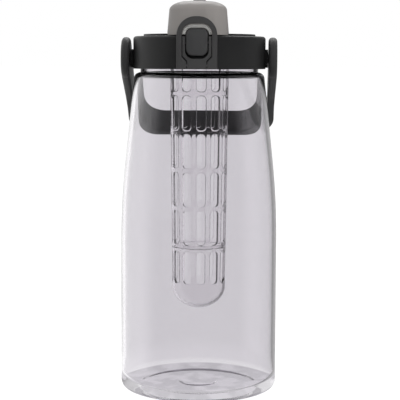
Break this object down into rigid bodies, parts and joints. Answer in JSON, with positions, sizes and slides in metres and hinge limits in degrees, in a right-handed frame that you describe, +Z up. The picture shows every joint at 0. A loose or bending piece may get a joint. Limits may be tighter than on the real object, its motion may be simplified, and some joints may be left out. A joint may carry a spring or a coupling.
{
  "type": "infuser jug",
  "caption": "Clear bottle-shaped fruit-infuser jug with a screw lid, a latched flip cap over its spout, a hanging slotted basket and a swinging bail handle.",
  "frame": {"origin": "on the jug's axis, at the centre of the flat pad under it that is level with its foot ring, on the table", "axes": "+Z up along the jug's axis; -Y towards the latch, so the handle hangs on the +Y side; +X to the right seen from the latch"},
  "size_m": [0.104, 0.1161, 0.2609],
  "materials": {
    "smoke_clear": "clear, smoke tinted, glossy",
    "basket_clear": "clear, smoke tinted",
    "dark_plastic": "fine satin",
    "button_plastic": "smooth satin",
    "grey_plastic": "smooth satin",
    "silicone": "matt, slightly milky",
    "steel": "satin"
  },
  "bodies": {
    "jug": {"bottle": "smoke_clear"},
    "infuser": {"infuser_basket": "basket_clear", "infuser_end_cap": "basket_clear", "infuser_collar": "dark_plastic", "infuser_o_ring": "silicone"},
    "lid": {"lid_collar": "dark_plastic", "lid_deck": "dark_plastic", "lid_gasket": "silicone", "spout": "dark_plastic", "vent_valve": "silicone", "hinge_pin": "steel", "latch_housing": "dark_plastic", "latch_pin": "steel", "latch_spring": "steel", "lock_pin": "steel", "pivot_pin_left": "dark_plastic", "pivot_pin_right": "dark_plastic"},
    "flip_cap": {"flip_cap": "grey_plastic", "spout_plug": "silicone"},
    "latch": {"latch_button": "button_plastic", "latch_lever": "dark_plastic"},
    "lock": {"lock_loop": "dark_plastic"},
    "handle": {"handle": "dark_plastic"}
  },
  "joints": [
    {"name": "lid_lift", "type": "slide", "parent": "jug", "child": "infuser", "axis": [0, 0, 1], "range_m": [0, 0.18]},
    {"name": "lid_unscrew", "type": "hinge", "parent": "infuser", "child": "lid", "pos_m": [0, 0, 0.2349], "axis": [0, 0, 1], "range_deg": [0, 3600]},
    {"name": "flip_cap_hinge", "type": "hinge", "parent": "lid", "child": "flip_cap", "pos_m": [0, 0.0325, 0.2391], "axis": [-1, 0, 0], "range_deg": [0, 115]},
    {"name": "latch_press", "type": "hinge", "parent": "lid", "child": "latch", "pos_m": [0, -0.0467, 0.2305], "axis": [1, 0, 0], "range_deg": [0, 6], "stiffness_Nm_per_rad": 0.3, "springref_deg": -2.86, "deforming": ["latch_spring"]},
    {"name": "lock_swing", "type": "hinge", "parent": "lid", "child": "lock", "pos_m": [0, -0.04915, 0.2164], "axis": [1, 0, 0], "range_deg": [0, 100]},
    {"name": "handle_swing", "type": "hinge", "parent": "lid", "child": "handle", "pos_m": [0, 0, 0.2205], "axis": [1, 0, 0], "range_deg": [0, 257]}
  ],
  "couplings": [
    {"joint": "lid_lift", "follows": "lid_unscrew", "m_per_rad": 0.0028648}
  ]
}
